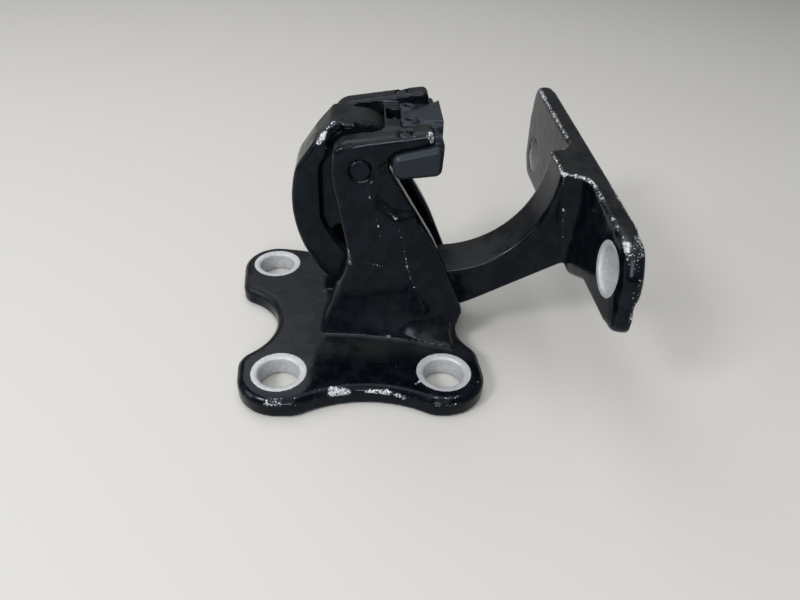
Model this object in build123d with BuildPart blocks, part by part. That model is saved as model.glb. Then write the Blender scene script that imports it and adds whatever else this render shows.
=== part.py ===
from build123d import *
import math
import os

# Boot lid hinge. Millimetres, +Z up. The origin is on the underside of the base plate, below the middle of
# the pivot pin. X runs from the body of the car towards the lid plate, and the pin lies along Y.

# Base plate
plate_t = 7.0
plate_top_chamfer = 1.7
plate_under_chamfer = 0.6
bolt_hole_d = 13.0
front_hole_span = 53.0
front_hole_x = -25.6
front_hole_y = -35.5
rear_hole_x = -32.8
rear_hole_y = 26.4
front_lug_r = 13.2
rear_lug_r = 12.6
rear_corner_x = 24.0
rear_corner_y = 18.0
rear_corner_r = 12.0
side_waist_r = 20.0
side_waist_y = -9.5
left_waist_x = -29.0
right_waist_x = 33.5
long_waist_r = 41.0
long_waist_x = 2.0
front_waist_y = -42.8
rear_waist_y = 30.0
waist_blend_r = 7.0

# Cheeks
cheek_gap = 18.0
cheek_t = 7.5
cheek_left_x = -8.5
cheek_top_z = 75.4
cheek_edge_r = 1.4
crown_corner_r = 6.0
throat_side_z = 64.0
throat_side_r = 30.0
neck_x = -3.3
neck_z = 36.0
neck_r = 24.0
foot_left_x = -13.4
heel_x = -12.6
heel_z = 12.0
heel_r = 12.0
foot_right_x = 35.8
foot_right_z = 13.0
foot_right_r = 5.0
foot_tuck = 3.0
knee_x = 23.7
knee_z = 42.0
knee_r = 60.0
root_x = 8.7
root_low_z = 67.6
root_low_r = 3.0
root_high_z = 72.4
root_high_r = 2.6
nose_x = 21.2
nose_top_z = 80.0
nose_under_z = 75.8
nose_top_r = 1.8
nose_under_r = 1.5
rear_rise = 2.6
facet_angle = 20.0
facet_foot_x = 22.7
facet_top_x = 10.9
facet_top_z = 52.0
pocket_depth = 2.4
pocket_left_x = 4.3
pocket_low_z = 57.5
pocket_corner_r = 3.0
pocket_floor_r = 1.6
pocket_draft = 12.0
flare_top_z = 25.0
flare_left = 0.2
flare_middle = 3.6
flare_right = 7.4
flare_middle_x = 17.0
flare_end_x = 31.5
boss_d = 16.0
rivet_seat = 2.0
peg_hole_deep = 10.0

# Bridge between the cheeks
bridge_x = 7.0
bridge_w = 5.2
bridge_top_z = 78.6
notch_y = -2.5
notch_w = 8.6
notch_depth = 4.0
notch_lip = 0.8

# Pivot
pin_z = 68.0
pin_d = 8.0
pin_end_d = 6.2
pin_chamfer = 0.4
bore_chamfer = 0.4
hub_gap = 0.8
running_gap = 0.03
washer_gap = 0.08
bush_gap = 1.0
bush_d = 11.0
flange_d = 14.6
flange_t = 0.8
washer_d = 15.4
washer_t = 0.8
end_play = 0.06
hub_w = 13.0

# Gooseneck arm
arm_w = 17.0
hub_r = 10.7
limb_out_x = 20.5
limb_out_z = 52.5
limb_out_r = 41.7
limb_slope = 28.8
limb_in_x = 27.0
limb_in_z = 63.5
limb_in_r = 34.8
throat_x = -8.6
throat_z = 41.6
throat_lean = -0.5
lug_x = -4.6
lug_z = 43.9
lug_corner_x = -7.6
arm_crown_x = -8.2
arm_crown_z = 78.7
arm_edge_chamfer = 1.0
arm_brow_x = -13.4
arm_brow_z = 73.0
arm_shoulder_z = 64.4
arm_shoulder_r = 12.0
recess_r = 10.1
recess_top_x = -1.5
step_x = -12.2
step_corner_x = -10.8
step_end = (-6.0, 38.2)
brow_cut = 1.6
brow_line = ((-12.5, 73.0), (-9.5, 71.0))
web_reach = 7.4
web_width = 8.5
web_lean = 0.18

# Lid plate: corners of its outline in Y and Z, each with its rounding
lid_face_x = 69.5
lid_plate_t = 6.5
lid_edge_chamfer = 1.0
lid_near_hole = (-39.9, 50.8)
lid_far_hole = (54.3, 42.7)
lid_corners = (
    ((-47.6, 63.4), 5.0),
    ((-52.4, 55.5), 6.0),
    ((-53.8, 46.0), 8.0),
    ((-53.8, 36.8), 4.5),
    ((-25.0, 36.2), 6.0),
    ((-11.0, 29.0), 6.0),
    ((12.0, 28.8), 8.0),
    ((26.0, 31.4), 8.0),
    ((60.0, 31.4), 6.0),
    ((66.2, 37.0), 5.0),
    ((69.2, 58.0), 6.0),
    ((67.0, 66.8), 4.0),
)
arm_top_z = 64.7
seat_step = 1.6
seat_step_z = 48.5
seat_step_y = -47.5

# Rubber buffer
open_angle = 100.0
stop_gap = 0.3
flange_proud = 2.6
flange_chamfer = 1.2
flange_corners = (
    ((9.3, 73.3), 2.4),
    ((24.0, 76.9), 2.0),
    ((23.6, 67.6), 2.2),
    ((9.7, 65.9), 2.6),
)
buffer_end_x = 24.2
hump_z = 79.0
tongue_tip = (14.2, 0.6)
tongue_side = (18.6, -7.0)
tongue_waist = (15.8, -2.2)
tongue_h = 1.5
tongue_inset = 0.4
lobe_r = 2.6
lobe_h = 0.6
band_under = 3.0
band_top_t = 1.4
band_drop = 1.4
band_inset = 1.0
peg_sunk = 0.5
peg_x = 12.9
peg_y = 13.6
peg_hole_d = 4.0
peg_d = 3.6
small_hole_x = 14.4
small_hole_y = 5.6
small_hole_d = 2.0
small_hole_deep = 3.0

lid_back_x = lid_face_x + lid_plate_t
cheek_in_y = cheek_gap / 2
cheek_out_y = cheek_in_y + cheek_t
hub_face_y = hub_w / 2
flange_face_y = hub_face_y + flange_t
washer_in_y = flange_face_y + end_play
washer_out_y = washer_in_y + washer_t
boss_face_y = washer_out_y + end_play
front_left_hole = (front_hole_x, front_hole_y)
front_right_hole = (front_hole_x + front_hole_span, front_hole_y)
rear_hole = (rear_hole_x, rear_hole_y)


def corners_on_circle(corners, centre, radius):
    """Picks the corners that lie on a circle in the sketch plane."""
    return [v for v in corners if abs(math.dist((v.X, v.Y), centre) - radius) < 0.01]


def rounded_outline(corners):
    """A closed outline of straight sides, from a list of corners, each with its place and rounding radius."""
    with BuildSketch() as outline:
        with BuildLine():
            Polyline(*[place for place, _ in corners], close=True)
        make_face()
        for place, radius in corners:
            if radius:
                fillet(outline.vertices().sort_by_distance((*place, 0))[0], radius)
    return outline.sketch


# Base plate: a hull round the lugs with a waist cut into each side
left_waist = (left_waist_x - side_waist_r, side_waist_y)
right_waist = (right_waist_x + side_waist_r, side_waist_y)
front_waist = (long_waist_x, front_waist_y - long_waist_r)
rear_waist = (long_waist_x, rear_waist_y + long_waist_r)

with BuildPart() as plate:
    with BuildSketch() as plate_outline:
        with Locations(front_left_hole, front_right_hole):
            Circle(front_lug_r)
        with Locations(rear_hole):
            Circle(rear_lug_r)
        with Locations((rear_corner_x, rear_corner_y)):
            Circle(rear_corner_r)
        make_hull()
        for centre, radius in (
            (left_waist, side_waist_r),
            (right_waist, side_waist_r),
            (front_waist, long_waist_r),
            (rear_waist, long_waist_r),
        ):
            with Locations(centre):
                Circle(radius, mode=Mode.SUBTRACT)
            fillet(corners_on_circle(plate_outline.vertices(), centre, radius), waist_blend_r)
    extrude(amount=plate_t)
    chamfer(plate.faces().sort_by(Axis.Z)[-1].edges(), plate_top_chamfer)
    chamfer(plate.faces().sort_by(Axis.Z)[0].edges(), plate_under_chamfer)


def cheek_outline(rise):
    """Side view of a cheek, with its crown raised by rise. It narrows to a neck and ends in a nose."""
    foot_z = plate_t / 2
    corners = (
        ((foot_left_x, foot_z), 0),
        ((heel_x, heel_z), heel_r),
        ((neck_x, neck_z), neck_r),
        ((cheek_left_x, throat_side_z), throat_side_r),
        ((cheek_left_x, cheek_top_z + rise), crown_corner_r),
        ((nose_x, nose_top_z + rise), nose_top_r),
        ((nose_x, nose_under_z), nose_under_r),
        ((root_x, root_high_z), root_high_r),
        ((root_x, root_low_z), root_low_r),
        ((knee_x, knee_z), knee_r),
        ((foot_right_x, foot_right_z), foot_right_r),
        ((foot_right_x - foot_tuck, foot_z), 0),
    )
    return rounded_outline(corners)


front_outline = cheek_outline(0)
rear_outline = cheek_outline(rear_rise)

# What the pocket in a cheek takes away. It lies beside the pin, under the nose
pocket_outline = rounded_outline(
    (
        ((pocket_left_x, root_low_z), pocket_corner_r),
        ((pocket_left_x, pocket_low_z), pocket_corner_r),
        ((facet_top_x, facet_top_z), pocket_corner_r),
        ((foot_right_x, facet_top_z), 0),
        ((foot_right_x, nose_under_z), 0),
        ((nose_x, nose_under_z), 0),
        ((root_x, root_high_z), 0),
    )
)
with BuildPart() as pocket:
    with BuildSketch(Plane.XZ.offset(cheek_out_y)):
        add(pocket_outline)
    extrude(amount=-pocket_depth, taper=pocket_draft)
    fillet(pocket.faces().sort_by(Axis.Y)[-1].edges(), pocket_floor_r)


def cheek_solid(outline):
    """A cheek on the front side, with the given side view."""
    with BuildPart() as cheek:
        with BuildSketch(Plane.XZ.offset(cheek_in_y)):
            add(outline)
        extrude(amount=cheek_t)
        outer_face = cheek.faces().sort_by(Axis.Y)[0]
        fillet(outer_face.edges().filter_by_position(Axis.Z, plate_t, 90), cheek_edge_r)
        # The face turns away to the right of a ridge that runs from the pocket down to the foot
        facet_run = foot_right_x - facet_foot_x + flare_right
        facet_fall = facet_run * math.tan(math.radians(facet_angle))
        with BuildSketch(Plane.XY.offset(plate_t)):
            with BuildLine():
                Polyline(
                    (facet_foot_x, -2 * cheek_out_y),
                    (facet_foot_x, -cheek_out_y),
                    (facet_foot_x + facet_run, -cheek_out_y + facet_fall),
                    (facet_foot_x + facet_run, -2 * cheek_out_y),
                    close=True,
                )
            make_face()
        ridge = Vector(facet_top_x - facet_foot_x, 0, facet_top_z - plate_t)
        extrude(amount=ridge.length, dir=ridge, mode=Mode.SUBTRACT)
        add(pocket.part, mode=Mode.SUBTRACT)
    return cheek.part


# Foot of a cheek: its concave flare runs out over the plate, wider to the right, and dies away past the ridge
with BuildPart() as flare:
    for x, reach, top in (
        (foot_left_x - 1, flare_left, flare_top_z),
        (flare_middle_x, flare_middle, flare_top_z),
        (flare_end_x, flare_right, plate_t + 2),
    ):
        with BuildSketch(Plane.YZ.offset(x)):
            with BuildLine():
                toe = Line((-cheek_in_y - 2, plate_t / 2), (-cheek_out_y - reach, plate_t / 2))
                lip = Line(toe @ 1, (-cheek_out_y - reach, plate_t + 0.2))
                sweep_up = Spline(lip @ 1, (-cheek_out_y + 1.5, top), tangents=((1, 0.35), (0.12, 1)))
                Polyline(sweep_up @ 1, (-cheek_in_y - 2, top), toe @ 0)
            make_face()
    loft(ruled=True)
    with BuildSketch(Plane.XZ.offset(cheek_in_y)):
        add(front_outline)
    extrude(amount=cheek_t + 2 * flare_right, mode=Mode.INTERSECT)

# Bracket: plate, both cheeks and the bridge behind the hub
with BuildPart() as base_bracket:
    add(plate.part)
    add(cheek_solid(front_outline))
    add(flare.part)
    mirror(cheek_solid(rear_outline), about=Plane.XZ)
    mirror(flare.part, about=Plane.XZ)
    # Bridge between the cheeks, hollowed by the hub's path
    with BuildSketch(Plane.XZ.offset(cheek_in_y)):
        with BuildLine():
            Polyline(
                (bridge_x, bridge_top_z),
                (bridge_x + bridge_w, bridge_top_z),
                (bridge_x + bridge_w, pin_z - 1),
                (bridge_x, pin_z - 1),
                close=True,
            )
        make_face()
        with Locations((0, pin_z)):
            Circle(hub_r + hub_gap, mode=Mode.SUBTRACT)
    extrude(amount=-cheek_gap)
    with Locations((bridge_x + bridge_w / 2 + notch_lip, notch_y + notch_w / 2, bridge_top_z)):
        Box(bridge_w, notch_w, 2 * notch_depth, mode=Mode.SUBTRACT)
    # Bosses that the thrust washers bear on
    for side, away in ((Plane.XZ.offset(boss_face_y), 1), (Plane.XZ.offset(-boss_face_y), -1)):
        with BuildSketch(side):
            with Locations((0, pin_z)):
                Circle(boss_d / 2)
        extrude(amount=away * (cheek_in_y - boss_face_y + 0.5))
    # Pin bore, peg holes and bolt holes
    for radius, half_length in ((pin_d / 2, cheek_out_y - rivet_seat), (pin_end_d / 2, cheek_out_y)):
        with Locations(Location((0, 0, pin_z), (90, 0, 0))):
            Cylinder(radius, 2 * half_length, mode=Mode.SUBTRACT)
    mouths = base_bracket.edges().filter_by(GeomType.CIRCLE).filter_by(
        lambda e: abs(abs(e.center().Y) - cheek_out_y) < 0.01 and abs(e.radius - pin_end_d / 2) < 0.01
    )
    chamfer(mouths, bore_chamfer)
    with Locations((peg_x, -peg_y, nose_top_z + rear_rise), (peg_x, peg_y, nose_top_z + rear_rise)):
        Hole(peg_hole_d / 2, depth=peg_hole_deep)
    with Locations(*[(x, y, plate_t) for x, y in (front_left_hole, front_right_hole, rear_hole)]):
        Hole(bolt_hole_d / 2, depth=plate_t)

base_bracket.part.label = "base_bracket"

# Gooseneck arm and lid plate
outer_end = Vector(limb_out_x, limb_out_z) + Vector(0, -limb_out_r).rotate(Axis.Z, limb_slope)
slope = math.tan(math.radians(limb_slope))
lower_end = Vector(lid_face_x + 1, outer_end.Y + (lid_face_x + 1 - outer_end.X) * slope)
inner_top_x = limb_in_x + math.sqrt(limb_in_r**2 - (arm_top_z - limb_in_z) ** 2)


# Side view of the arm
with BuildSketch() as arm_side:
    with BuildLine():
        crown = Line((0, arm_crown_z), (arm_crown_x, arm_crown_z))
        shoulder_x = limb_out_x - math.sqrt(limb_out_r**2 - (arm_shoulder_z - limb_out_z) ** 2)
        brow = Polyline(crown @ 1, (arm_brow_x, arm_brow_z), (shoulder_x, arm_shoulder_z))
        around_middle = (limb_out_x - limb_out_r * 0.6, limb_out_z - limb_out_r * 0.8)
        around = ThreePointArc(brow @ 1, around_middle, outer_end)
        lower = Line(around @ 1, lower_end)
        up = Line(lower @ 1, (lid_face_x + 1, arm_top_z))
        top = Line(up @ 1, (inner_top_x, arm_top_z))
        bottom = Vector(limb_in_x, limb_in_z - limb_in_r)
        sweep_in = ThreePointArc(
            top @ 1,
            Vector(limb_in_x, limb_in_z) + Vector(limb_in_r, 0).rotate(Axis.Z, -44),
            bottom,
        )
        throat = Spline(bottom, (throat_x, throat_z), tangents=((-1, 0), (throat_lean, 1)))
        Polyline(throat @ 1, (lug_corner_x, lug_z), (lug_x, lug_z), (lug_x, pin_z), (0, pin_z), crown @ 0)
    make_face()
    fillet(arm_side.vertices().sort_by_distance((shoulder_x, arm_shoulder_z, 0))[0], arm_shoulder_r)
    with Locations((0, pin_z)):
        Circle(hub_r)

# Side view of the limb alone. The hub and the stop lug are narrower, so both flanks step in round them
with BuildSketch() as limb_side:
    add(arm_side.sketch_local)
    with Locations((0, pin_z)):
        Circle(recess_r, mode=Mode.SUBTRACT)
    with BuildLine():
        Polyline(
            (recess_top_x, pin_z + 1),
            (recess_top_x, arm_crown_z + 1),
            (hub_r + 1, arm_crown_z + 1),
            (hub_r + 1, lug_z - 2),
            step_end,
            (step_corner_x, lug_z),
            (step_x, lug_z + 4),
            (step_x, pin_z - 3),
            (-math.sqrt(recess_r**2 - 1), pin_z + 1),
            close=True,
        )
    make_face(mode=Mode.SUBTRACT)

# Plane that cuts the near top corner of the crown, through a line on the flank and a point on its edge
brow_start, brow_end = [Vector(x, -arm_w / 2, z) for x, z in brow_line]
brow_back = Vector(arm_crown_x, -arm_w / 2 + brow_cut, arm_crown_z)
brow_along = brow_end - brow_start
brow_plane = Plane(brow_start, x_dir=brow_along, z_dir=brow_along.cross(brow_back - brow_start))

# Coves that widen the arm where it meets the lid plate, cut off by the arm's own side view. They lean with
# the crease at which the flank ends, so they are smaller at the bottom
with BuildPart() as webs:
    with BuildSketch(Plane.XZ.offset(-arm_w * 2)):
        add(arm_side.sketch_local)
    extrude(amount=arm_w * 4)
    with BuildSketch(Plane.XY.offset(arm_top_z)):
        with BuildLine():
            near = Spline(
                (lid_face_x - web_reach, -arm_w / 2),
                (lid_face_x - web_reach * 0.3, -arm_w / 2 - web_width * 0.3),
                (lid_face_x + 0.5, -arm_w / 2 - web_width),
                tangents=((1, -0.35), (0.1, -1)),
            )
            Polyline(near @ 1, (lid_face_x + 0.5, 0), (lid_face_x - web_reach, 0), near @ 0)
        make_face()
        mirror(about=Plane.XZ)
    extrude(amount=arm_top_z, dir=(web_lean, 0, -1), mode=Mode.INTERSECT)

# Plate that is bolted to the lid
lid_outline = rounded_outline(lid_corners)
with BuildPart() as lid_plate:
    with BuildSketch(Plane.YZ.offset(lid_face_x)):
        add(lid_outline)
    extrude(amount=lid_plate_t)
    chamfer(lid_plate.faces().sort_by(Axis.X)[0].edges(), lid_edge_chamfer)
    chamfer(lid_plate.faces().sort_by(Axis.X)[-1].edges(), lid_edge_chamfer)
    # The back of the near end steps in below the seat
    with Locations((lid_back_x, seat_step_y, seat_step_z)):
        Box(
            2 * seat_step,
            4 * lid_plate_t,
            4 * lid_plate_t,
            align=(Align.CENTER, Align.MAX, Align.MAX),
            mode=Mode.SUBTRACT,
        )
    with Locations(*[Location((lid_back_x, y, z), (0, 90, 0)) for y, z in (lid_near_hole, lid_far_hole)]):
        Hole(bolt_hole_d / 2, depth=lid_plate_t)

with BuildPart() as lid_arm:
    with BuildSketch(Plane.XZ.offset(-arm_w / 2)):
        add(limb_side.sketch_local)
    extrude(amount=arm_w)
    # The outer and the inner sweep are each the middle of a tangent row of edges
    for flank in (lid_arm.faces().sort_by(Axis.Y)[0], lid_arm.faces().sort_by(Axis.Y)[-1]):
        sweeps = flank.edges().filter_by(GeomType.CIRCLE).sort_by(SortBy.LENGTH)[-2:]
        chamfer(sweeps, arm_edge_chamfer)
    # The near top corner of the crown is cut away at a shallow slope
    with BuildSketch(brow_plane):
        Rectangle(arm_w, arm_w)
    extrude(amount=arm_w / 2, mode=Mode.SUBTRACT)
    with BuildSketch(Plane.XZ.offset(-hub_face_y)):
        add(arm_side.sketch_local)
    extrude(amount=hub_w)
    add(webs.part)
    add(lid_plate.part)
    with Locations(Location((0, 0, pin_z), (90, 0, 0))):
        Cylinder(bush_d / 2, arm_w, mode=Mode.SUBTRACT)

lid_arm.part.label = "lid_arm"

with BuildPart() as pivot_pin:
    with Locations(Location((0, 0, pin_z), (90, 0, 0))):
        Cylinder(pin_d / 2, 2 * (cheek_out_y - rivet_seat))
        Cylinder(pin_end_d / 2, 2 * cheek_out_y)
    ends = pivot_pin.faces().sort_by(Axis.Y)
    chamfer(ends[0].edges() + ends[-1].edges(), pin_chamfer)
pivot_pin.part.label = "pivot_pin"


def bush(sign):
    """A flanged bush pressed into the hub from one side."""
    with BuildPart() as piece:
        for radius, low, high in (
            (bush_d / 2, bush_gap / 2, hub_face_y),
            (flange_d / 2, hub_face_y, flange_face_y),
        ):
            with Locations(Location((0, sign * (low + high) / 2, pin_z), (90, 0, 0))):
                Cylinder(radius, high - low)
        with Locations(Location((0, sign * flange_face_y / 2, pin_z), (90, 0, 0))):
            Cylinder(pin_d / 2 + running_gap, flange_face_y, mode=Mode.SUBTRACT)
    return piece.part


def washer(sign):
    """A thrust washer between a bush flange and the boss of a cheek."""
    with BuildPart() as piece:
        with Locations(Location((0, sign * (washer_in_y + washer_out_y) / 2, pin_z), (90, 0, 0))):
            Cylinder(washer_d / 2, washer_t)
            Cylinder(pin_d / 2 + washer_gap, washer_t, mode=Mode.SUBTRACT)
    return piece.part


# Rubber buffer: pushed under both noses, with a flange outside each cheek and the stop block between them
stop_normal = Vector(math.cos(math.radians(open_angle)), math.sin(math.radians(open_angle)))
stop_reach = lug_x + stop_gap


def crown_z(x):
    """Height of the front cheek's crown."""
    return cheek_top_z + (nose_top_z - cheek_top_z) * (x - cheek_left_x) / (nose_x - cheek_left_x)


def stop_z(x):
    """Height of the stop face, which lies along the limb's inner wall when the arm is fully open."""
    return pin_z + (stop_reach - stop_normal.X * x) / stop_normal.Y


# Tongue on the block, wider and higher towards its free end
with BuildPart() as tongue:
    with BuildSketch(Plane.XY.offset(hump_z - 1)):
        with BuildLine():
            Polyline(
                tongue_tip,
                (buffer_end_x, cheek_in_y - tongue_inset),
                (buffer_end_x, -cheek_in_y + tongue_inset),
                tongue_side,
                tongue_waist,
                close=True,
            )
        make_face()
    extrude(amount=1 + tongue_h)
    with BuildSketch(Plane.XZ.offset(-cheek_in_y)):
        with BuildLine():
            Polyline(
                (tongue_tip[0], hump_z),
                (buffer_end_x, hump_z + tongue_h),
                (buffer_end_x, hump_z - 1),
                (tongue_tip[0], hump_z - 1),
                close=True,
            )
        make_face()
    extrude(amount=cheek_gap, mode=Mode.INTERSECT)

block_x = bridge_x + bridge_w
flange_outline = rounded_outline(flange_corners)
with BuildPart() as stop_buffer:
    with BuildSketch(Plane.XZ.offset(-cheek_out_y - flange_proud)):
        add(flange_outline)
    extrude(amount=2 * (cheek_out_y + flange_proud))
    chamfer(stop_buffer.faces().sort_by(Axis.Y)[0].edges(), flange_chamfer)
    chamfer(stop_buffer.faces().sort_by(Axis.Y)[-1].edges(), flange_chamfer)
    # Bands that wrap round the ends of the noses, thinner towards the top
    with BuildSketch(Plane.XZ.offset(-cheek_out_y + band_inset)):
        with BuildLine():
            Polyline(
                (nose_x - band_under, nose_under_z - band_under),
                (buffer_end_x, nose_under_z - band_under),
                (buffer_end_x, nose_under_z),
                (nose_x + band_top_t, nose_top_z - band_drop),
                (nose_x - band_under, nose_top_z - band_drop),
                close=True,
            )
        make_face()
    extrude(amount=2 * (cheek_out_y - band_inset))
    # Centre block with the stop face below
    with BuildSketch(Plane.XZ.offset(-cheek_in_y)):
        with BuildLine():
            Polyline(
                (block_x, stop_z(block_x)),
                (buffer_end_x, stop_z(buffer_end_x)),
                (buffer_end_x, hump_z),
                (block_x, hump_z),
                close=True,
            )
        make_face()
    extrude(amount=cheek_gap)
    add(tongue.part)
    # Low lobes round the two moulded holes
    with Locations((small_hole_x, -small_hole_y, hump_z), (small_hole_x, small_hole_y, hump_z)):
        Cylinder(lobe_r, 2 * lobe_h)
    add(base_bracket.part, mode=Mode.SUBTRACT)
    with Locations(Location((0, 0, pin_z), (90, 0, 0))):
        Cylinder(hub_r + hub_gap, cheek_gap, mode=Mode.SUBTRACT)
    # Pegs up into the noses, and two small moulded holes
    for y, peg_top in ((-peg_y, crown_z(peg_x)), (peg_y, crown_z(peg_x) + rear_rise)):
        with Locations((peg_x, y, root_high_z)):
            peg_length = peg_top - peg_sunk - root_high_z
            Cylinder(peg_d / 2, peg_length, align=(Align.CENTER, Align.CENTER, Align.MIN))
    lobe_top_z = hump_z + lobe_h
    with Locations((small_hole_x, -small_hole_y, lobe_top_z), (small_hole_x, small_hole_y, lobe_top_z)):
        Hole(small_hole_d / 2, depth=small_hole_deep)
stop_buffer.part.label = "stop_buffer"

pieces = [base_bracket.part, lid_arm.part, pivot_pin.part, stop_buffer.part]
for place, sign in (("front", -1), ("rear", 1)):
    for kind, made in (("bush", bush(sign)), ("washer", washer(sign))):
        made.label = place + "_" + kind
        pieces.append(made)

os.makedirs("parts", exist_ok=True)
for piece in pieces:
    export_step(piece, "parts/" + piece.label + ".step")
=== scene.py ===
import logging
import math
from dataclasses import dataclass
from enum import Enum

import bpy
import numpy as np
from mathutils import Euler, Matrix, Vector


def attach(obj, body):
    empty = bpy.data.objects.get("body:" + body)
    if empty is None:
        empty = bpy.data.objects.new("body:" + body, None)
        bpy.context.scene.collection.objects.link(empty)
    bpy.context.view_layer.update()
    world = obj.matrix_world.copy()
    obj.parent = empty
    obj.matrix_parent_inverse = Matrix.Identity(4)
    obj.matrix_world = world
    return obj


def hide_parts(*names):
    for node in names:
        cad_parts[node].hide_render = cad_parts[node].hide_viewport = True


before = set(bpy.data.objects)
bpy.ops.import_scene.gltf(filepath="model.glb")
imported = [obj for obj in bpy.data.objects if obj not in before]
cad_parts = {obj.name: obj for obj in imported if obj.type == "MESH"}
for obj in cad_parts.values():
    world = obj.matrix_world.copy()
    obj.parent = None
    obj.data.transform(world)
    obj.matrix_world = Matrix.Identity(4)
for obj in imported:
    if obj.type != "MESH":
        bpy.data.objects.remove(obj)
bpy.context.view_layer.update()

MM = 0.001
LOG = logging.getLogger("boot_lid_hinge")


# Shader maths


class Wire:
    """A shader output that takes part in Python expressions."""

    def __init__(self, graph: "Graph", socket: bpy.types.NodeSocket) -> None:
        """Wraps one output socket of a graph."""
        self.graph = graph
        self.socket = socket

    def __add__(self, other: "Wire | float") -> "Wire":
        """Sum of two values."""
        return self.graph.math("ADD", self, other)

    __radd__ = __add__

    def __sub__(self, other: "Wire | float") -> "Wire":
        """Difference of two values."""
        return self.graph.math("SUBTRACT", self, other)

    def __rsub__(self, other: "Wire | float") -> "Wire":
        """Difference with the plain number first."""
        return self.graph.math("SUBTRACT", other, self)

    def __mul__(self, other: "Wire | float") -> "Wire":
        """Product of two values."""
        return self.graph.math("MULTIPLY", self, other)

    __rmul__ = __mul__

    def above(self, low: float, high: float) -> "Wire":
        """Smooth mask that is 0 below low and 1 above high."""
        return self.graph.step(self, low, high)

    def below(self, low: float, high: float) -> "Wire":
        """Smooth mask that is 1 below low and 0 above high."""
        return 1.0 - self.graph.step(self, low, high)

    def most(self, other: "Wire | float") -> "Wire":
        """The larger of two values."""
        return self.graph.math("MAXIMUM", self, other)


class Graph:
    """The node tree of one material, with the few ways of adding a node that the finishes use."""

    def __init__(self, name: str) -> None:
        """Starts a material with an empty node tree.

        Args:
            name: The material's name.
        """
        self.material = bpy.data.materials.new(name)
        self.material.use_nodes = True
        self.tree = self.material.node_tree
        self.tree.nodes.clear()
        self.place = self.wire("ShaderNodeTexCoord", "Object")

    def node(self, kind: str, settings: dict | None = None, inputs: dict | None = None) -> bpy.types.Node:
        """Adds any node.

        Args:
            kind: The node's type.
            settings: Its properties, which are set first.
            inputs: Values or wires for its sockets, by name or number.

        Returns:
            The new node.
        """
        made = self.tree.nodes.new(kind)
        for key, value in (settings or {}).items():
            setattr(made, key, value)
        for key, value in (inputs or {}).items():
            if isinstance(value, Wire):
                self.tree.links.new(value.socket, made.inputs[key])
            else:
                made.inputs[key].default_value = value
        return made

    def wire(self, kind: str, output: str | int = 0, settings: dict | None = None,
             inputs: dict | None = None) -> Wire:
        """Adds any node and returns one of its outputs."""
        return Wire(self, self.node(kind, settings, inputs).outputs[output])

    def math(self, operation: str, first: "Wire | float", second: "Wire | float") -> Wire:
        """Adds a Math node for two values."""
        return self.wire("ShaderNodeMath", settings={"operation": operation}, inputs={0: first, 1: second})

    def step(self, value: Wire, low: float, high: float) -> Wire:
        """Smooth step of a value from low to high."""
        return self.wire(
            "ShaderNodeMapRange",
            settings={"interpolation_type": "SMOOTHSTEP"},
            inputs={"Value": value, "From Min": low, "From Max": high},
        )

    def noise(self, size_mm: float, detail: float = 3.0, rough: float = 0.55) -> Wire:
        """Noise whose largest features are about size_mm wide."""
        return self.wire(
            "ShaderNodeTexNoise",
            inputs={
                "Vector": self.place, "Scale": 1.0 / (size_mm * MM), "Detail": detail, "Roughness": rough,
            },
        )

    def cells(self, size_mm: float) -> Wire:
        """Distance to the nearest of points scattered about size_mm apart."""
        return self.wire(
            "ShaderNodeTexVoronoi", "Distance", inputs={"Vector": self.place, "Scale": 1.0 / (size_mm * MM)},
        )

    def along(self, axis: str) -> Wire:
        """Place along one axis, in millimetres."""
        return self.wire("ShaderNodeSeparateXYZ", axis, inputs={0: self.place}) * (1.0 / MM)

    def off_axis(self, centre_mm: tuple[float, float, float], keep: tuple[float, float, float]) -> Wire:
        """Distance in millimetres from a line through centre_mm along the axis that keep leaves out."""
        offset = self.wire(
            "ShaderNodeVectorMath", settings={"operation": "SUBTRACT"},
            inputs={0: self.place, 1: tuple(c * MM for c in centre_mm)},
        )
        flat = self.wire(
            "ShaderNodeVectorMath", settings={"operation": "MULTIPLY"},
            inputs={0: offset, 1: tuple(k / MM for k in keep)},
        )
        return self.wire("ShaderNodeVectorMath", "Value", {"operation": "LENGTH"}, {0: flat})

    def attribute(self, name: str) -> Wire:
        """A value that the mesh holds at each vertex."""
        return self.wire("ShaderNodeAttribute", "Fac", {"attribute_name": name})

    def blend(self, amount: "Wire | float", first: "Wire | tuple", second: "Wire | tuple") -> Wire:
        """Mixes two colours."""
        return self.wire(
            "ShaderNodeMix", 2, {"data_type": "RGBA"},
            {0: amount, 6: with_alpha(first), 7: with_alpha(second)},
        )

    def bump(self, height: Wire, depth_mm: float) -> Wire:
        """Bump for a height that runs from 0 to 1."""
        return self.wire("ShaderNodeBump", "Normal", inputs={"Height": height, "Distance": depth_mm * MM})

    def finish(self, **sockets: "Wire | float | tuple") -> bpy.types.Material:
        """Closes the tree with a Principled shader whose sockets are named with underscores for spaces."""
        shader = self.node("ShaderNodeBsdfPrincipled", inputs={
            key.replace("_", " "): with_alpha(value) if key == "Base_Color" else value
            for key, value in sockets.items()
        })
        out = self.node("ShaderNodeOutputMaterial")
        self.tree.links.new(shader.outputs[0], out.inputs[0])
        return self.material


def with_alpha(colour: "Wire | tuple") -> "Wire | tuple":
    """Adds a full alpha to a plain colour of three numbers."""
    if isinstance(colour, Wire) or len(colour) == 4:
        return colour
    return (*colour, 1.0)


# Finishes


@dataclass(frozen=True)
class Ring:
    """A bare metal ring round a bolt hole, where a bolt's flange has to touch metal."""

    centre: tuple[float, float, float]
    keep: tuple[float, float, float]
    radius: float
    bareness: float = 1.0


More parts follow.
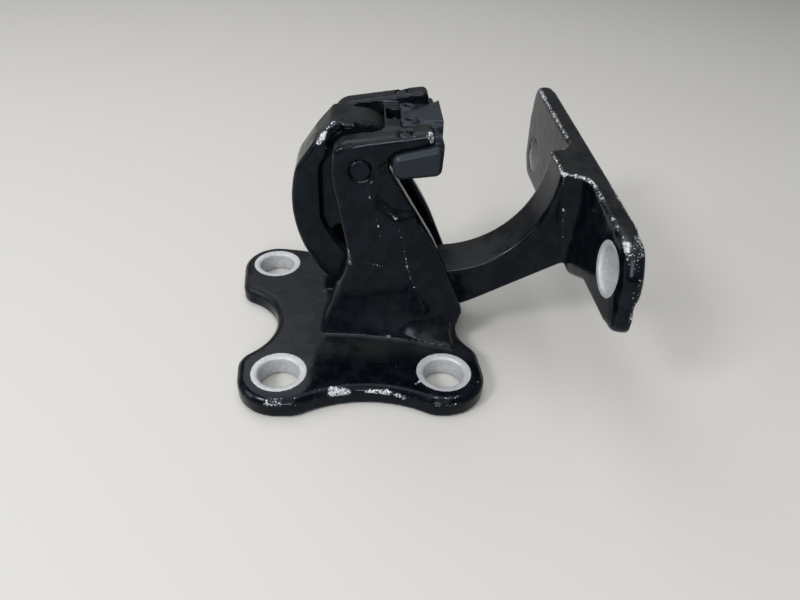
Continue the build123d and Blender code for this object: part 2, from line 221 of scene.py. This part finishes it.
@dataclass(frozen=True)
class WornGlossPaint:
    """Gloss black paint over an aluminium forging, chipped to metal along its edges, with a painted highlight
    lightening those edges.
    """

    colour: tuple[float, float, float] = (0.0014, 0.0020, 0.0034)
    film: tuple[float, float, float] = (0.0120, 0.0125, 0.0125)
    haze: tuple[float, float, float] = (0.0036, 0.0052, 0.0080)
    # Painted highlight: a pale blue-grey laid along edges and marked lines, in place of the gloss highlights
    # lamps would give.
    painted_edge_highlight: tuple[float, float, float] = (0.045, 0.055, 0.070)
    metal: tuple[float, float, float] = (0.60, 0.61, 0.62)
    oxide: tuple[float, float, float] = (0.40, 0.42, 0.44)
    speck: tuple[float, float, float] = (0.30, 0.30, 0.29)
    sheen: tuple[float, float, float, float] = (0.74, 0.87, 1.0, 1.0)
    specular: float = 0.15
    most_worn: float = 0.8
    chip_edge: tuple[float, float] = (0.53, 0.57)
    painted_highlight_range: tuple[float, float] = (0.4, 0.9)
    ring_edge: float = 0.1
    gloss: float = 0.07
    relief_mm: float = 0.035

    def material(self, name: str, rings: tuple[Ring, ...], dust_behind: float = -200.0) -> bpy.types.Material:
        """Builds the paint for one piece.

        Args:
            name: The material's name.
            rings: The bare rings round the bolt holes of the piece.
            dust_behind: The place along Y, in millimetres, in front of which the top stays wiped clean.

        Returns:
            The material.
        """
        g = Graph(name)
        # This mask holds real edge wear and the painted edge highlight together.
        wear_and_highlight = g.attribute("wear_and_highlight")
        up = g.attribute("upward")
        ragged = g.noise(2.4, 6.0, 0.7)
        fine = g.noise(0.55, 4.0, 0.65)
        knocked = g.math("MINIMUM", wear_and_highlight, self.most_worn)
        chips = (knocked * 0.72 + (ragged - 0.5) * 0.7 + (fine - 0.5) * 1.25).above(*self.chip_edge)
        specks = g.cells(1.7).below(0.05, 0.09) * g.noise(6.0).above(0.5, 0.6) * 0.5
        pad = 0.0 * wear_and_highlight
        for ring in rings:
            edge = g.off_axis(ring.centre, ring.keep) + (fine - 0.5) * 0.7
            inside = edge.below(ring.radius - self.ring_edge, ring.radius + self.ring_edge)
            pad = pad.most(inside * ring.bareness)
        wiped = g.along("Y").above(dust_behind - 6.0, dust_behind + 4.0)
        dusty = up.above(0.3, 0.8) * (0.35 + 0.65 * g.noise(9.0, 5.0).above(0.4, 0.62)) * wiped
        clouds = g.noise(5.0, 5.0, 0.6).above(0.42, 0.62)
        colour = g.blend(dusty, g.blend(clouds, self.colour, self.haze), self.film)
        # Painted highlight: edges and marked lines are lightened towards the painted highlight colour.
        colour = g.blend(wear_and_highlight.above(*self.painted_highlight_range) * (0.45 + clouds * 0.4), colour, self.painted_edge_highlight)
        colour = g.blend(specks * up.above(0.1, 0.6), colour, self.speck)
        colour = g.blend(chips, colour, g.blend(g.noise(0.9, 5.0), self.metal, self.oxide))
        mottled = g.noise(1.1, 6.0, 0.7).above(0.36, 0.62)
        colour = g.blend(pad, colour, g.blend(mottled, self.oxide, tuple(0.82 * c for c in self.metal)))
        bare = chips.most(pad)
        rough = self.gloss + dusty * 0.32 + clouds * 0.06 + g.noise(3.0, 4.0) * 0.08 + bare * 0.34
        waves = g.noise(7.0, 1.0) * 3.0 + g.noise(1.6, 3.0) * 0.6
        relief = waves + g.noise(0.35, 2.0) * 0.35 * dusty - bare * 0.9
        return g.finish(
            Base_Color=colour, Metallic=bare * 0.35, Roughness=rough, Normal=g.bump(relief, self.relief_mm),
            Specular_IOR_Level=self.specular, Specular_Tint=self.sheen,
        )


@dataclass(frozen=True)
class BufferRubber:
    """Matt blue-grey moulded rubber."""

    colour: tuple[float, float, float] = (0.0055, 0.0075, 0.0110)
    bloom: tuple[float, float, float] = (0.020, 0.026, 0.035)
    sheen: tuple[float, float, float, float] = (0.78, 0.89, 1.0, 1.0)
    specular: float = 0.3
    grain_mm: float = 0.03

    def material(self, name: str) -> bpy.types.Material:
        """Builds the rubber under the given name."""
        g = Graph(name)
        wear_and_highlight = g.attribute("wear_and_highlight")
        rubbed = wear_and_highlight.above(0.2, 0.9) * 0.6 + g.noise(4.0, 4.0) * 0.3
        colour = g.blend(rubbed, self.colour, self.bloom)
        normal = g.bump(g.noise(0.5, 4.0), self.grain_mm)
        return g.finish(
            Base_Color=colour, Roughness=0.36 + g.noise(1.0) * 0.14, Normal=normal,
            Specular_IOR_Level=self.specular, Specular_Tint=self.sheen,
        )


@dataclass(frozen=True)
class PlainMetal:
    """A bare turned or pressed metal."""

    colour: tuple[float, float, float]
    roughness: float = 0.3

    def material(self, name: str) -> bpy.types.Material:
        """Builds the metal under the given name."""
        g = Graph(name)
        colour = g.blend(g.noise(1.4, 4.0), self.colour, tuple(0.7 * c for c in self.colour))
        return g.finish(Base_Color=colour, Metallic=1.0, Roughness=self.roughness + g.noise(0.8) * 0.15)


# Skins over the solids


@dataclass(frozen=True)
class Stretch:
    """A stretch of surface round a line, where the paint is knocked, where a painted highlight lies along an
    edge, or where an edge is rounder than elsewhere.
    """

    start: tuple[float, float, float]
    end: tuple[float, float, float]
    reach: float
    amount: float

    def nearness(self, points: np.ndarray) -> np.ndarray:
        """How near each point lies to the line.

        Args:
            points: Places in metres, one to a row.

        Returns:
            1 on the line, falling to 0 at the reach.
        """
        start = np.array(self.start) * MM
        run = np.array(self.end) * MM - start
        part = np.clip((points - start) @ run / max(run @ run, 1e-12), 0, 1)
        away = np.linalg.norm(points - start - part[:, None] * run, axis=1)
        return np.clip(1.0 - (away / (self.reach * MM)) ** 2, 0, 1)


@dataclass(frozen=True)
class FootFlare:
    """The concave foot of a cheek, which ends in a rounded lip that stands on the plate.

    All sizes are in millimetres. It starts sunk below the plate's top, gather crowds its rows of vertices
    towards the plate, and hollow is how sharply it curves out.
    """

    side: float
    inside: float = 11.0
    plate_top: float = 7.0
    lip: float = 1.5
    left_x: float = -12.9
    right_x: float = 31.0
    sunk: float = 1.0
    gather: float = 1.5
    hollow: float = 2.4
    cuts: int = 34

    def toe(self, x: np.ndarray) -> np.ndarray:
        """Distance from the middle to the toe line at each x."""
        return np.interp(x, (self.left_x, 0.0, 15.0, self.right_x), (16.9, 17.6, 19.9, 24.3))

    def top(self, x: np.ndarray) -> np.ndarray:
        """Height at which the flare leaves the cheek's face at each x."""
        return np.interp(x, (self.left_x, 13.0, 21.0, 26.0, self.right_x), (31.0, 28.0, 16.0, 11.5, 8.7))

    def face(self, x: np.ndarray) -> np.ndarray:
        """Distance from the middle to the cheek's face at each x."""
        return 16.4 - 0.36 * np.clip(x - 20.0, 0, None)

    def left(self, z: np.ndarray) -> np.ndarray:
        """The cheek's left outline at each height."""
        heights = (self.plate_top, 11.0, 15.0, 19.0, 23.0, 27.0, 31.0)
        return np.interp(z, heights, (self.left_x, -12.4, -11.0, -9.1, -7.1, -5.4, -4.3))

    def build(self) -> bpy.types.Object:
        """Shapes a fine block into the flare.

        Returns:
            The flare as a closed piece, to be joined to the bracket's skin.
        """
        bpy.ops.object.select_all(action="DESELECT")
        bpy.ops.mesh.primitive_cube_add(size=1.0)
        made = bpy.context.object
        bpy.ops.object.mode_set(mode="EDIT")
        bpy.ops.mesh.subdivide(number_cuts=self.cuts)
        bpy.ops.object.mode_set(mode="OBJECT")
        along, out, up = (read_points(made.data) + 0.5).T
        floor = self.plate_top - self.sunk
        x = self.left_x + (self.right_x - self.left_x) * along
        z = floor + (self.top(x) - floor) * up**self.gather
        rise = np.clip((z - self.plate_top - self.lip) / (self.top(x) - self.plate_top - self.lip), 0, 1)
        front = self.face(x) + (self.toe(x) - self.face(x)) * (1.0 - rise) ** self.hollow
        y = self.inside + (front - self.inside) * out
        x = np.maximum(x, self.left(z) + 0.002 * along)
        write_points(made.data, np.stack([x, self.side * y, z], axis=1) * MM)
        if self.side < 0:
            made.data.flip_normals()
        return made


def read_points(mesh: bpy.types.Mesh) -> np.ndarray:
    """The places of a mesh's vertices, one to a row."""
    points = np.empty(len(mesh.vertices) * 3)
    mesh.vertices.foreach_get("co", points)
    return points.reshape(-1, 3)


def write_points(mesh: bpy.types.Mesh, points: np.ndarray) -> None:
    """Moves a mesh's vertices to the given places."""
    mesh.vertices.foreach_set("co", points.ravel())
    mesh.update()


@dataclass
class Skin:
    """A finely meshed, slightly rounded copy of a solid, as its casting and paint have it."""

    node: str
    piece: str
    body: str
    slot: str
    voxel: float = 0.6
    rounding: int = 5
    base_wear: float = 0.55
    sharpness: float = 0.12
    most_proud: float = 1.6
    merge_mm: float = 0.002
    zones: tuple[Stretch, ...] = ()
    scuffs_and_highlights: tuple[Stretch, ...] = ()
    rounder: tuple[Stretch, ...] = ()
    additions: tuple[FootFlare, ...] = ()

    def build(self) -> bpy.types.Object:
        """Copies the solid, remeshes and rounds it, and stores its wear and painted-highlight mask.

        Returns:
            The new piece, which stands for the solid.
        """
        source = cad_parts[self.node]
        extras = [addition.build() for addition in self.additions]
        bpy.ops.object.select_all(action="DESELECT")
        made = bpy.data.objects.new(self.piece, source.data.copy())
        bpy.context.scene.collection.objects.link(made)
        made.data.materials.clear()
        bpy.context.view_layer.objects.active = made
        made.select_set(True)
        self.weld(made)
        if extras:
            for extra in extras:
                extra.select_set(True)
            bpy.ops.object.join()
        remesh = made.modifiers.new("remesh", "REMESH")
        remesh.mode = "VOXEL"
        remesh.voxel_size = self.voxel * MM
        remesh.use_smooth_shade = True
        smooth = made.modifiers.new("rounding", "SMOOTH")
        smooth.factor = 0.5
        smooth.iterations = self.rounding
        for modifier in ("remesh", "rounding"):
            bpy.ops.object.modifier_apply(modifier=modifier)
        self.soften(made.data)
        self.store_wear_and_highlight(made)
        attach(made, self.body)
        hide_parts(self.node)
        LOG.info("%s: %d faces", self.piece, len(made.data.polygons))
        return made

    def weld(self, made: bpy.types.Object) -> None:
        """Merges the loose triangles of the copied solid."""
        bpy.ops.object.mode_set(mode="EDIT")
        bpy.ops.mesh.select_all(action="SELECT")
        bpy.ops.mesh.remove_doubles(threshold=self.merge_mm * MM)
        bpy.ops.object.mode_set(mode="OBJECT")

    def soften(self, mesh: bpy.types.Mesh) -> None:
        """Rounds the stretches that are rounder than the rest, by as many passes as their amount."""
        points = read_points(mesh)
        ends = self.edge_ends(mesh)
        for stretch in self.rounder:
            share = 0.5 * np.clip(2.0 * stretch.nearness(points), 0, 1)[:, None]
            for _ in range(int(stretch.amount)):
                points += share * (self.neighbour_mean(points, ends) - points)
        write_points(mesh, points)

    def store_wear_and_highlight(self, made: bpy.types.Object) -> None:
        """Stores how far each vertex stands proud of its neighbours, and how far it faces up."""
        mesh = made.data
        points = read_points(mesh)
        normals = np.empty(len(points) * 3, dtype=np.float32)
        mesh.vertex_normals.foreach_get("vector", normals)
        normals = normals.reshape(-1, 3)
        ends = self.edge_ends(mesh)
        near = self.neighbour_mean(points, ends)
        proud = np.einsum("ij,ij->i", points - near, normals) / (self.voxel * MM)
        for _ in range(2):
            proud = self.neighbour_mean(proud[:, None], ends)[:, 0]
        wear_and_highlight = np.clip(proud / self.sharpness, 0, self.most_proud) * self.zone_weights(points)
        for line_mark in self.scuffs_and_highlights:
            wear_and_highlight = wear_and_highlight + line_mark.amount * line_mark.nearness(points)
        LOG.info("%s: wear reaches %.2f in a twentieth of it", self.piece, float(np.quantile(wear_and_highlight, 0.95)))
        for name, values in (("wear_and_highlight", wear_and_highlight), ("upward", normals[:, 2])):
            layer = mesh.attributes.new(name, "FLOAT", "POINT")
            layer.data.foreach_set("value", values.astype(np.float32))

    def zone_weights(self, points: np.ndarray) -> np.ndarray:
        """How hard each point has been knocked."""
        weights = np.full(len(points), self.base_wear)
        for zone in self.zones:
            weights += zone.amount * zone.nearness(points)
        return weights

    @staticmethod
    def edge_ends(mesh: bpy.types.Mesh) -> np.ndarray:
        """The two vertices of each edge, one edge to a row."""
        ends = np.empty(len(mesh.edges) * 2, dtype=np.int64)
        mesh.edges.foreach_get("vertices", ends)
        return ends.reshape(-1, 2)

    @staticmethod
    def neighbour_mean(values: np.ndarray, ends: np.ndarray) -> np.ndarray:
        """Mean of each vertex's neighbours along the edges."""
        total = np.zeros_like(values, dtype=float)
        number = np.zeros(len(values))
        for here, there in ((0, 1), (1, 0)):
            number += np.bincount(ends[:, here], minlength=len(values))
            for axis in range(values.shape[1]):
                total[:, axis] += np.bincount(ends[:, here], values[ends[:, there], axis], len(values))
        return total / np.maximum(number, 1)[:, None]


# Sub-assemblies


@dataclass
class Bracket:
    """The bracket with its rubber buffer; its pivot pin and washers are dressed with the other inner pieces.
    """

    ring_radius: float = 8.85
    bolt_holes: tuple[tuple[float, float], ...] = ((-25.6, -35.5), (27.4, -35.5), (-32.8, 26.4))
    zones: tuple[Stretch, ...] = (
        Stretch((-20.0, -45.0, 6.0), (24.0, -45.0, 6.0), 9.0, 0.6),
        Stretch((-38.0, -42.0, 6.0), (-38.0, -28.0, 6.0), 8.0, 0.5),
        Stretch((30.0, -46.0, 6.0), (40.0, -36.0, 6.0), 8.0, 0.5),
        Stretch((-44.0, 20.0, 6.0), (-40.0, 34.0, 6.0), 8.0, 0.4),
        Stretch((-4.0, -16.5, 76.0), (21.0, -16.5, 79.0), 5.0, 0.25),
    )
    scuffs_and_highlights: tuple[Stretch, ...] = (
        Stretch((1.8, -16.6, 63.4), (5.7, -16.6, 49.8), 0.6, 0.58),
        Stretch((5.7, -16.6, 49.8), (7.1, -16.6, 43.0), 0.6, 0.56),
        # Painted highlight: this line lightens and chips the pocket's lower lip in place of the highlight it
        # catches.
        Stretch((7.0, -15.9, 56.8), (11.0, -16.1, 52.4), 1.2, 0.85),
        Stretch((11.0, -16.6, 52.4), (13.1, -16.6, 46.0), 0.6, 0.62),
        Stretch((13.1, -16.6, 46.0), (15.1, -16.6, 35.3), 0.6, 0.60),
        Stretch((15.1, -16.6, 35.3), (18.0, -16.6, 26.6), 0.6, 0.62),
        Stretch((18.0, -16.6, 26.6), (20.3, -17.4, 14.5), 0.6, 0.56),
        Stretch((-4.0, -16.0, 41.0), (-3.0, -16.2, 36.0), 1.2, 0.6),
        Stretch((1.0, -16.6, 36.5), (8.0, -16.6, 35.0), 0.9, 0.60),
        Stretch((20.3, -16.0, 78.5), (20.6, -13.5, 79.3), 2.0, 0.25),
        Stretch((4.6, -16.6, 65.2), (3.2, -16.6, 64.2), 0.7, 0.8),
        Stretch((18.0, -41.0, 7.0), (21.0, -38.5, 7.0), 0.9, 0.8),
        Stretch((-8.0, -43.5, 6.0), (-4.0, -43.5, 5.5), 2.2, 0.75),
        Stretch((3.0, -43.5, 6.0), (9.0, -43.8, 5.8), 2.0, 0.8),
        Stretch((12.0, -44.5, 5.0), (14.0, -45.0, 4.0), 1.5, 0.7),
        Stretch((-28.0, -47.5, 5.5), (-24.0, -47.5, 5.5), 1.8, 0.6),
        # Painted highlight: these two lines lighten the flare's toe in place of the gloss highlight on its
        # lip.
        Stretch((-12.0, -17.4, 8.2), (10.0, -19.4, 8.2), 1.0, 0.55),
        Stretch((10.0, -19.4, 8.2), (30.0, -24.4, 8.2), 1.0, 0.5),
    )
    rounder: tuple[Stretch, ...] = (
        Stretch((4.3, -15.5, 68.0), (4.6, -15.5, 57.0), 3.2, 22),
        Stretch((5.0, -15.5, 57.0), (11.0, -15.5, 52.0), 3.2, 12),
        Stretch((11.0, -15.5, 52.0), (18.5, -15.5, 52.0), 3.2, 22),
        Stretch((4.3, 15.5, 68.0), (5.0, 15.5, 57.0), 3.2, 22),
        Stretch((5.0, 15.5, 57.0), (18.5, 15.5, 52.0), 3.4, 16),
        Stretch((-12.0, -16.5, 8.0), (-12.0, -14.0, 14.0), 2.4, 5),
        Stretch((13.0, -17.0, 25.0), (23.0, -17.5, 15.0), 5.0, 40),
        Stretch((13.0, 17.0, 25.0), (23.0, 17.5, 15.0), 5.0, 40),
        Stretch((-5.3, -16.5, 76.0), (-8.5, -16.5, 70.0), 3.4, 22),
        Stretch((-8.5, -16.5, 70.0), (-7.0, -16.5, 56.0), 3.0, 18),
        Stretch((-7.0, -16.5, 56.0), (-4.2, -16.5, 40.0), 3.0, 18),
        Stretch((-4.2, -16.5, 36.0), (-8.1, -16.5, 24.0), 3.0, 18),
        Stretch((-8.1, -16.5, 24.0), (-12.6, -16.8, 12.0), 3.0, 18),
        Stretch((-4.0, -16.5, 76.8), (17.0, -16.5, 79.0), 2.4, 8),
    )
    feet: tuple[FootFlare, ...] = (FootFlare(-1.0), FootFlare(1.0))

    def build(self) -> None:
        """Builds and dresses the pieces that stay with the car's body."""
        skin = Skin(
            "base_bracket", "bracket_skin", "bracket", "bracket_paint",
            zones=self.zones, scuffs_and_highlights=self.scuffs_and_highlights, rounder=self.rounder, additions=self.feet,
        ).build()
        rings = tuple(Ring((x, y, 0.0), (1.0, 1.0, 0.0), self.ring_radius) for x, y in self.bolt_holes)
        skin.data.materials.append(WornGlossPaint().material("bracket_paint", rings, -27.0))
        buffer = Skin(
            "stop_buffer", "buffer_skin", "bracket", "buffer_rubber", voxel=0.3, rounding=3, base_wear=0.8
        ).build()
        buffer.data.materials.append(BufferRubber().material("buffer_rubber"))


@dataclass
class Arm:
    """The gooseneck arm; its bushes are dressed with the other inner pieces."""

    near_hole: Ring = Ring((0.0, -39.9, 50.8), (0.0, 1.0, 1.0), 8.2)
    far_hole: Ring = Ring((0.0, 54.3, 42.7), (0.0, 1.0, 1.0), 6.7, 0.4)
    zones: tuple[Stretch, ...] = (
        Stretch((70.0, -50.0, 62.0), (70.0, -20.0, 64.0), 9.0, 0.3),
        Stretch((70.0, -20.0, 64.0), (70.0, 66.0, 66.0), 6.0, 0.55),
        Stretch((76.0, -50.0, 62.0), (76.0, 66.0, 66.0), 4.0, 0.45),
        Stretch((62.0, -8.5, 65.0), (68.0, -12.0, 65.0), 4.0, 0.35),
        # Partly real chips, partly a painted highlight on the brow facet.
        Stretch((-8.0, -8.5, 78.0), (-13.0, -8.5, 72.0), 5.0, 0.42),
        Stretch((45.0, -8.5, 34.0), (60.0, -8.5, 58.0), 5.0, 0.5),
    )
    scuffs_and_highlights: tuple[Stretch, ...] = (
        # Partly real scratches, partly a painted highlight along the flank's crease.
        Stretch((62.6, -8.6, 63.0), (64.6, -8.7, 52.0), 0.8, 0.42),
        Stretch((64.6, -8.7, 52.0), (67.4, -8.9, 36.0), 1.0, 0.56),
        # Partly real chips, partly a painted highlight on the brow facet.
        Stretch((-12.0, -8.3, 73.0), (-10.0, -8.0, 75.0), 1.6, 0.42),
        Stretch((71.0, -51.0, 60.0), (73.0, -44.0, 63.4), 4.0, 0.36),
        Stretch((74.0, -53.0, 57.0), (74.5, -53.4, 45.0), 3.5, 0.36),
        Stretch((69.8, 62.0, 66.2), (69.8, 18.0, 65.2), 1.0, 0.38),
        Stretch((62.3, 7.0, 64.6), (62.3, -7.0, 64.4), 1.0, 0.38),
        Stretch((62.5, -8.0, 64.4), (69.5, -13.5, 64.3), 1.0, 0.05),
        Stretch((69.8, -14.0, 64.2), (69.8, -34.0, 63.6), 1.2, 0.16),
        Stretch((69.8, -34.0, 63.6), (70.2, -46.0, 62.2), 2.0, 0.26),
        Stretch((75.4, -16.0, 64.0), (75.4, -44.0, 62.8), 1.0, 0.38),
    )
    rounder: tuple[Stretch, ...] = (
        Stretch((70.0, -44.0, 63.5), (70.0, -53.5, 52.0), 6.0, 45),
        Stretch((76.0, -44.0, 63.5), (76.0, -53.5, 50.0), 6.0, 45),
        Stretch((69.5, -53.5, 50.0), (69.5, -50.0, 36.5), 4.0, 24),
        Stretch((76.0, 66.0, 66.0), (70.0, 68.0, 60.0), 6.0, 30),
    )

    def build(self) -> None:
        """Builds and dresses the pieces that turn with the lid."""
        skin = Skin(
            "lid_arm", "arm_skin", "arm", "arm_paint",
            zones=self.zones, scuffs_and_highlights=self.scuffs_and_highlights, rounder=self.rounder,
        ).build()
        rings = (self.near_hole, self.far_hole)
        skin.data.materials.append(WornGlossPaint().material("arm_paint", rings))


def dress_inner_pieces() -> None:
    """Gives the pin, bushes and washers their metals."""
    steel = PlainMetal((0.42, 0.42, 0.43)).material("turned_steel")
    bronze = PlainMetal((0.47, 0.33, 0.19)).material("bush_bronze")
    painted = WornGlossPaint().material("pin_paint", ())
    for name, finish in (
        ("pivot_pin", painted), ("front_bush", bronze), ("rear_bush", bronze),
        ("front_washer", steel), ("rear_washer", steel),
    ):
        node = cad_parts[name]
        node.data.materials.clear()
        node.data.materials.append(finish)


# Studio


class Lamp(Enum):
    """The lamps of the studio: place, target, size and power."""

    WINDOW = ((-0.25, 0.55, 0.85), (0.0, 0.0, 0.05), 0.6, 2.8)
    CEILING = ((0.0, -0.1, 0.95), (0.0, 0.0, 0.03), 0.8, 4.4)
    SPOT = ((-0.55, -0.42, 0.62), (0.0, 0.0, 0.03), 0.2, 4.2)
    SIDE = ((-0.75, -0.15, 0.4), (0.0, 0.0, 0.04), 0.3, 1.3)
    FRONT = ((0.05, -0.9, 0.8), (0.0, 0.0, 0.03), 0.55, 1.2)
    LOW = ((-0.12, -1.15, 0.52), (0.0, 0.0, 0.03), 0.45, 6.0)


@dataclass
class Studio:
    """Floor, lamps, world and the camera at the photograph's angle."""

    camera_place: tuple[float, float, float] = (0.0016, -0.1858, 0.1500)
    camera_turn: tuple[float, float, float] = (52.87, -2.23, -2.31)
    focal_length: float = 28.8
    sensor: float = 36.0
    floor_colour: tuple[float, float, float] = (0.50, 0.49, 0.47)
    floor_size: float = 6.0
    floor_roughness: float = 0.7
    floor_gap: float = 0.02
    room_colour: tuple[float, float, float, float] = (0.9, 0.92, 0.95, 1.0)
    room_strength: float = 0.2

    def build(self) -> None:
        """Builds everything that isn't part of the hinge."""
        self.add_floor()
        self.add_world()
        for lamp in Lamp:
            self.add_lamp(lamp)
        self.add_camera()

    def add_floor(self) -> None:
        """Lays a plain pale floor just under the hinge."""
        bpy.ops.object.select_all(action="DESELECT")
        bpy.ops.mesh.primitive_plane_add(size=self.floor_size, location=(0, 0, -self.floor_gap * MM))
        floor = bpy.context.object
        floor.name = "floor"
        g = Graph("pale_floor")
        floor.data.materials.append(g.finish(Base_Color=self.floor_colour, Roughness=self.floor_roughness))

    def add_world(self) -> None:
        """Lights the room evenly."""
        world = bpy.data.worlds.new("room")
        bpy.context.scene.world = world
        world.use_nodes = True
        background = world.node_tree.nodes["Background"]
        background.inputs["Color"].default_value = self.room_colour
        background.inputs["Strength"].default_value = self.room_strength

    def add_lamp(self, lamp: Lamp) -> None:
        """Adds one soft square lamp."""
        place, target, size, power = lamp.value
        light = bpy.data.lights.new("lamp_" + lamp.name.lower(), "AREA")
        light.size = size
        light.energy = power
        made = bpy.data.objects.new(light.name, light)
        made.location = place
        made.rotation_euler = (Vector(target) - Vector(place)).to_track_quat("-Z", "Y").to_euler()
        bpy.context.scene.collection.objects.link(made)

    def add_camera(self) -> None:
        """Puts the camera where the photograph was taken from."""
        lens = bpy.data.cameras.new("camera")
        lens.lens = self.focal_length
        lens.sensor_width = self.sensor
        made = bpy.data.objects.new("camera", lens)
        made.location = self.camera_place
        made.rotation_euler = Euler([math.radians(a) for a in self.camera_turn])
        bpy.context.scene.collection.objects.link(made)
        bpy.context.scene.camera = made
        bpy.context.scene.view_settings.view_transform = "Standard"


def main() -> None:
    """Builds the hinge and its studio."""
    logging.basicConfig(level=logging.INFO)
    for maker in (Bracket(), Arm()):
        maker.build()
        LOG.info("built %s", type(maker).__name__)
    dress_inner_pieces()
    Studio().build()


if __name__ == "__main__":
    main()
